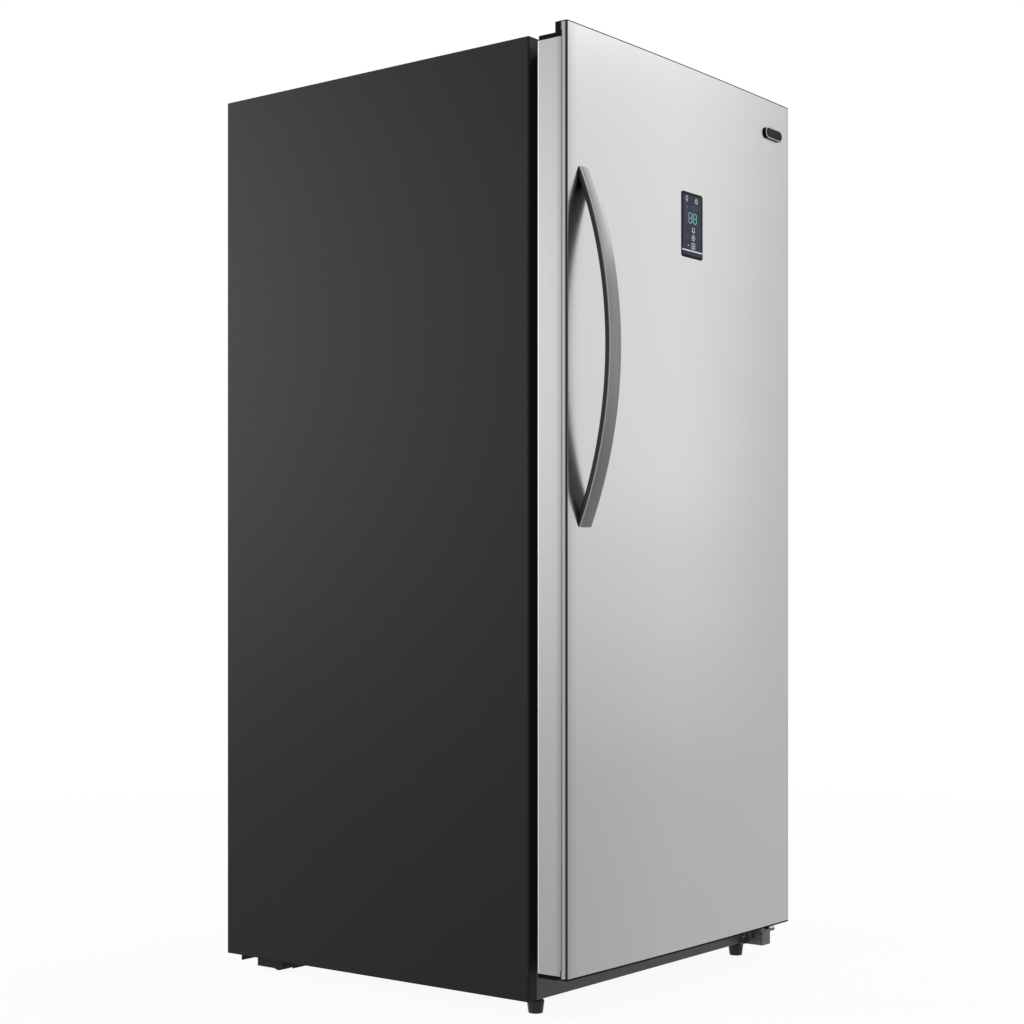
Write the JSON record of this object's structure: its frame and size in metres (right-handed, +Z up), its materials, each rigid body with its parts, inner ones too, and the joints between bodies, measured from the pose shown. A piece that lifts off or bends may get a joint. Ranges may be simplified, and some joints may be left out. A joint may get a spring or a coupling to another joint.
{
  "type": "upright freezer",
  "caption": "Free-standing upright freezer with one stainless door hinged on its right, bow handle, touch display, glass shelves, door bins, a sliding basket and a rear machine compartment.",
  "frame": {"origin": "on the floor, under the middle of the whole outline", "axes": "+Z up from the floor, the door and its handle face -Y, +X towards the hinge side"},
  "size_m": [0.7, 0.81, 1.5626],
  "materials": {
    "black_panel": "matte",
    "stainless": "satin",
    "door_side_metal": "satin",
    "black_plastic": "matte",
    "gasket_rubber": "matte",
    "white_liner": "satin",
    "foam": "matte",
    "galvanised": "satin",
    "rail_metal": "satin",
    "handle_metal": "satin",
    "display_black": "gloss",
    "badge_black": "gloss",
    "clear_bin": "gloss",
    "shelf_pane": "gloss",
    "lamp_lens": "satin",
    "black_enamel": "gloss",
    "mount_rubber": "matte",
    "coil_aluminium": "satin",
    "copper": "satin",
    "steel_pin": "satin",
    "grey_plastic": "matte"
  },
  "bodies": {
    "cabinet": {"side_panel_left": "black_panel", "side_panel_right": "black_panel", "top_panel": "black_panel", "back_panel": "galvanised", "cabinet_foam": "foam", "inner_liner": "white_liner", "bottom_plate": "galvanised", "front_rail": "rail_metal", "base_rails": "galvanised", "compressor_pan": "galvanised", "compressor_mounts": "mount_rubber", "compressor": "black_enamel", "drain_pan": "black_plastic", "condenser": "coil_aluminium", "condenser_fan_frame": "black_plastic", "refrigerant_tubes": "copper", "rear_cover": "galvanised", "cord_gland": "black_plastic", "evaporator_cover": "white_liner", "evaporator_coil": "coil_aluminium", "evaporator_fan_motor": "black_plastic", "light_lens": "lamp_lens", "shelf_glass_1": "shelf_pane", "shelf_trim_1": "white_liner", "shelf_glass_2": "shelf_pane", "shelf_trim_2": "white_liner", "shelf_glass_3": "shelf_pane", "shelf_trim_3": "white_liner", "shelf_glass_4": "shelf_pane", "shelf_trim_4": "white_liner", "bottom_hinge_bracket": "galvanised", "bottom_hinge_pin": "steel_pin", "top_hinge": "galvanised", "top_hinge_cover": "black_plastic", "hinge_screws": "steel_pin"},
    "door": {"door_skin": "stainless", "door_side_left": "door_side_metal", "door_side_right": "door_side_metal", "door_top_cap": "black_plastic", "door_bottom_cap": "black_plastic", "door_foam": "foam", "door_liner": "white_liner", "door_gasket": "gasket_rubber", "door_bin_1": "clear_bin", "door_bin_2": "clear_bin", "door_bin_3": "clear_bin", "door_bin_4": "clear_bin", "handle_bar": "handle_metal", "handle_mounts": "steel_pin", "display_glass": "display_black", "display_housing": "black_plastic", "badge_plate": "badge_black", "hinge_bushes": "grey_plastic"},
    "bottom_basket": {"basket": "white_liner"},
    "condenser_fan_rotor": {"condenser_fan": "grey_plastic"},
    "evaporator_fan_rotor": {"evaporator_fan": "grey_plastic"},
    "left_roller": {"rear_roller_left": "black_plastic"},
    "right_roller": {"rear_roller_right": "black_plastic"},
    "left_foot": {"levelling_foot_left": "black_plastic"},
    "right_foot": {"levelling_foot_right": "black_plastic"}
  },
  "joints": [
    {"name": "door_hinge", "type": "hinge", "parent": "cabinet", "child": "door", "pos_m": [0.33, -0.31498, 0.0655], "axis": [0, 0, 1], "range_deg": [0, 130]},
    {"name": "basket_slide", "type": "slide", "parent": "cabinet", "child": "bottom_basket", "axis": [0, -1, 0], "range_m": [0, 0.2043]},
    {"name": "condenser_fan_spin", "type": "hinge", "parent": "cabinet", "child": "condenser_fan_rotor", "pos_m": [0.036, 0.28002, 0.1375], "axis": [1, 0, 0], "continuous": true},
    {"name": "evaporator_fan_spin", "type": "hinge", "parent": "cabinet", "child": "evaporator_fan_rotor", "pos_m": [0, 0.28902, 1.33], "axis": [0, -1, 0], "continuous": true},
    {"name": "left_roller_axle", "type": "hinge", "parent": "cabinet", "child": "left_roller", "pos_m": [-0.311, 0.30752, 0.019], "axis": [1, 0, 0], "continuous": true},
    {"name": "right_roller_axle", "type": "hinge", "parent": "cabinet", "child": "right_roller", "pos_m": [0.311, 0.30752, 0.019], "axis": [1, 0, 0], "continuous": true},
    {"name": "left_foot_screw", "type": "hinge", "parent": "cabinet", "child": "left_foot", "pos_m": [-0.311, -0.25498, 0], "axis": [0, 0, 1], "continuous": true},
    {"name": "right_foot_screw", "type": "hinge", "parent": "cabinet", "child": "right_foot", "pos_m": [0.311, -0.25498, 0], "axis": [0, 0, 1], "continuous": true}
  ],
  "couplings": [
    {"joint": "basket_slide", "follows": "door_hinge", "m_per_rad": 0.09}
  ]
}
